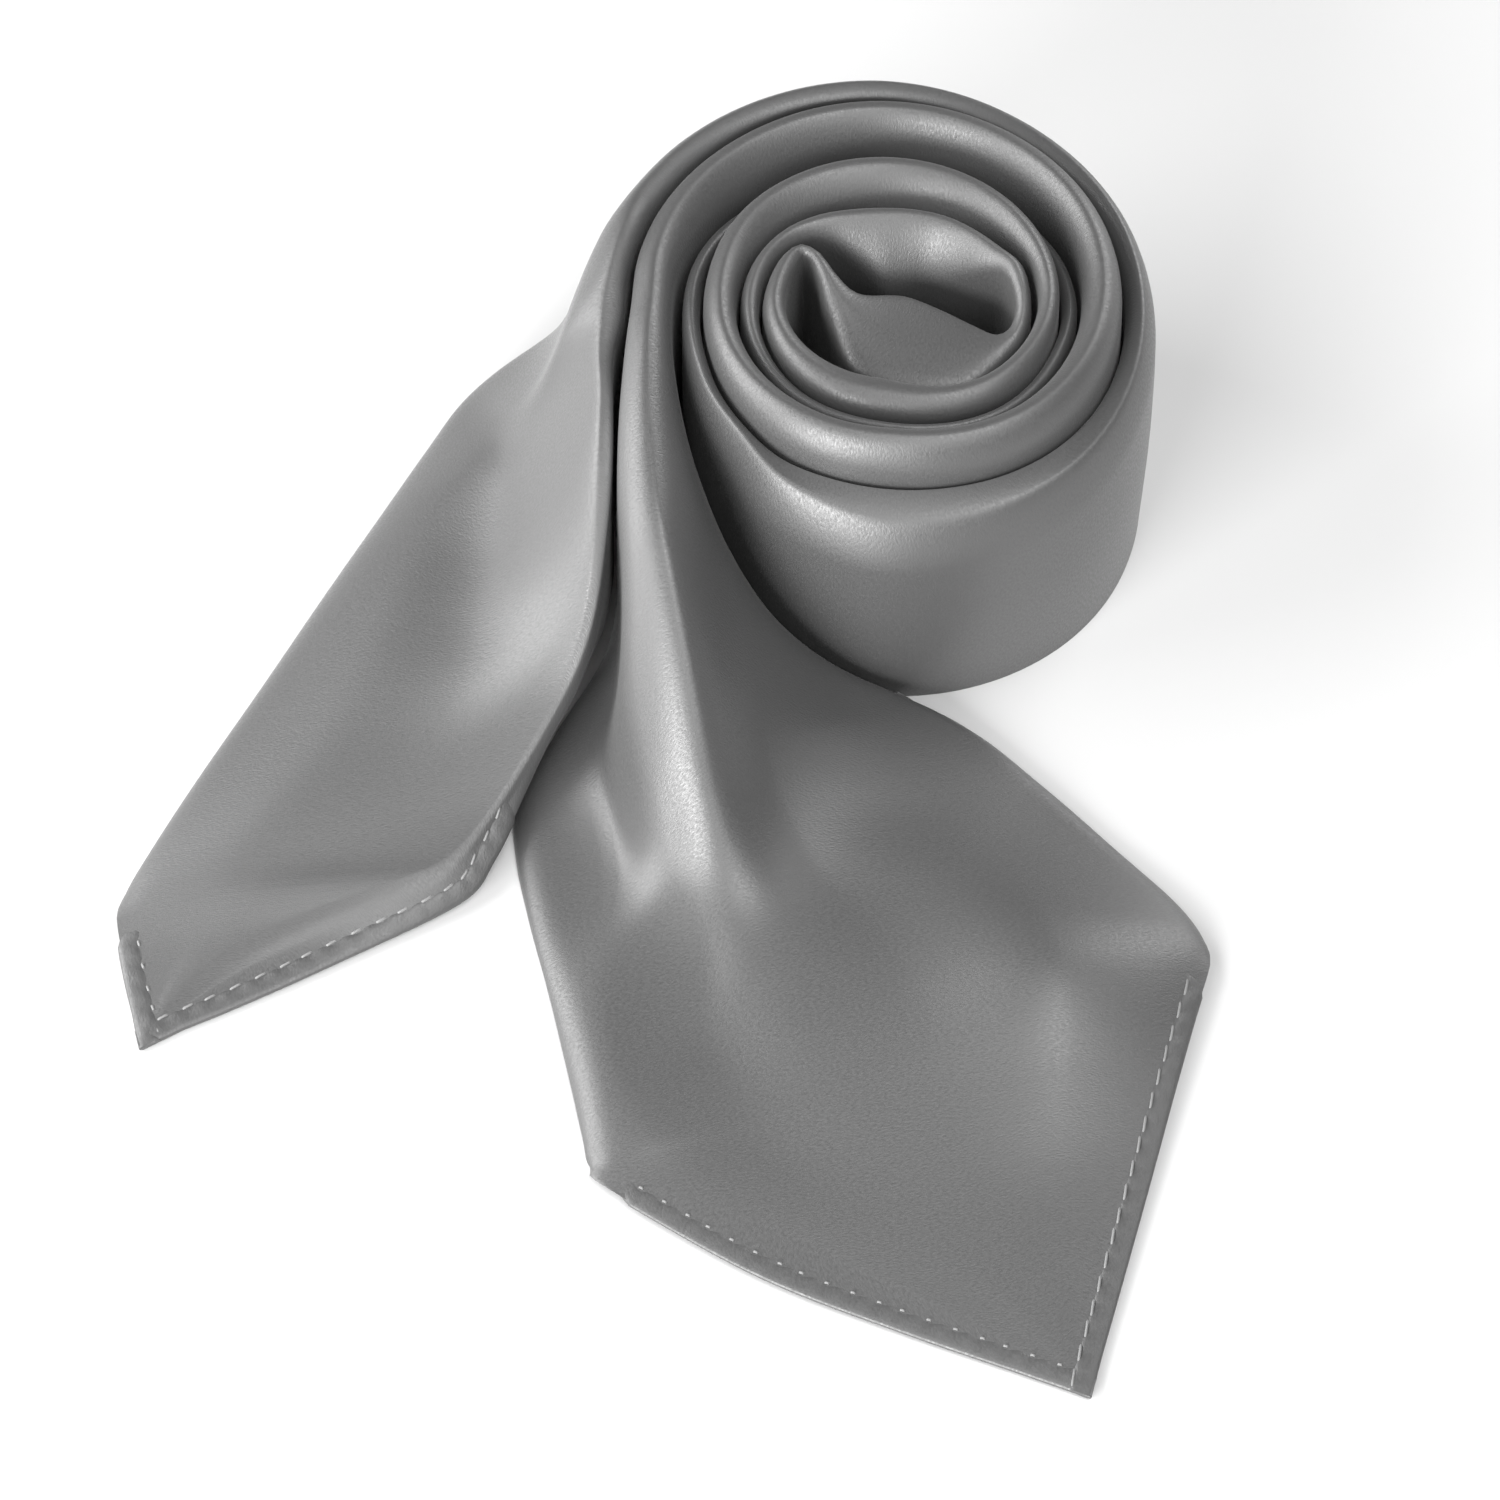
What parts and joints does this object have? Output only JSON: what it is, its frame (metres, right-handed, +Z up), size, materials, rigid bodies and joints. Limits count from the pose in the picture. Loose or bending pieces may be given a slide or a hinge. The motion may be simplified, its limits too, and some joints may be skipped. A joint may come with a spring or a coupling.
{
  "type": "silk scarf",
  "caption": "Square satin neck scarf folded on the bias into a band and wound into a standing coil, with hemmed pointed tails laid out in front of it.",
  "frame": {"origin": "centre of the bounding box on the surface the scarf rests on", "axes": "+Z up along the coil's axis, -Y from the coil towards the tip of the front tail, +X to the right as seen from the front"},
  "size_m": [0.112, 0.1422, 0.0341],
  "materials": {
    "silk": "grey silk satin, soft sheen",
    "hem": "rolled and stitched edge of the same satin",
    "thread": "sewing thread of the hems, a little lighter than the silk"
  },
  "bodies": {
    "root": {"silk_cloth": "silk", "front_tail_hem": "hem", "back_tail_hem": "hem"}
  },
  "joints": []
}
